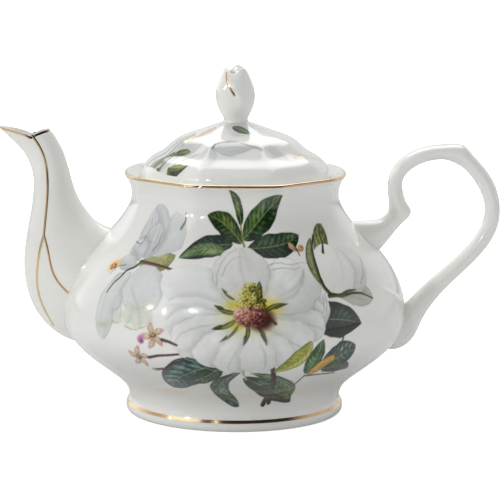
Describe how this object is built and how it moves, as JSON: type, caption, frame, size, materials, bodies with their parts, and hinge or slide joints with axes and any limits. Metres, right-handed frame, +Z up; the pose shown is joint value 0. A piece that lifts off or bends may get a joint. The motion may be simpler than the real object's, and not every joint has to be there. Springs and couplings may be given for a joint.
{
  "type": "teapot",
  "caption": "Lobed bone china teapot with a swan-neck spout, looped handle, domed lid with a bud knob, gilded lines and printed magnolias.",
  "frame": {"origin": "on the table, under the middle of the overall length from spout tip to handle", "axes": "+X towards the handle, -X towards the spout, +Z up, +Y to the back"},
  "size_m": [0.2407, 0.1616, 0.1663],
  "materials": {
    "china_pot": "clear glossy glaze over white bone china",
    "china_spout": "clear glossy glaze over white bone china",
    "china_handle": "clear glossy glaze over white bone china",
    "china_lid": "clear glossy glaze over white bone china",
    "china_knob": "clear glossy glaze over white bone china",
    "gilding": "burnished gilding"
  },
  "bodies": {
    "pot": {"pot_body": "china_pot", "spout": "china_spout", "handle": "china_handle", "rim_gilding": "gilding", "foot_gilding": "gilding", "spout_lip_gilding": "gilding", "spout_line_near": "gilding", "spout_line_far": "gilding"},
    "lid": {"lid_dome": "china_lid", "bud_knob": "china_knob", "bud_gilding": "gilding"}
  },
  "joints": [
    {"name": "lid_lift", "type": "slide", "parent": "pot", "child": "lid", "axis": [0, 0, 1], "range_m": [0, 0.08]}
  ]
}
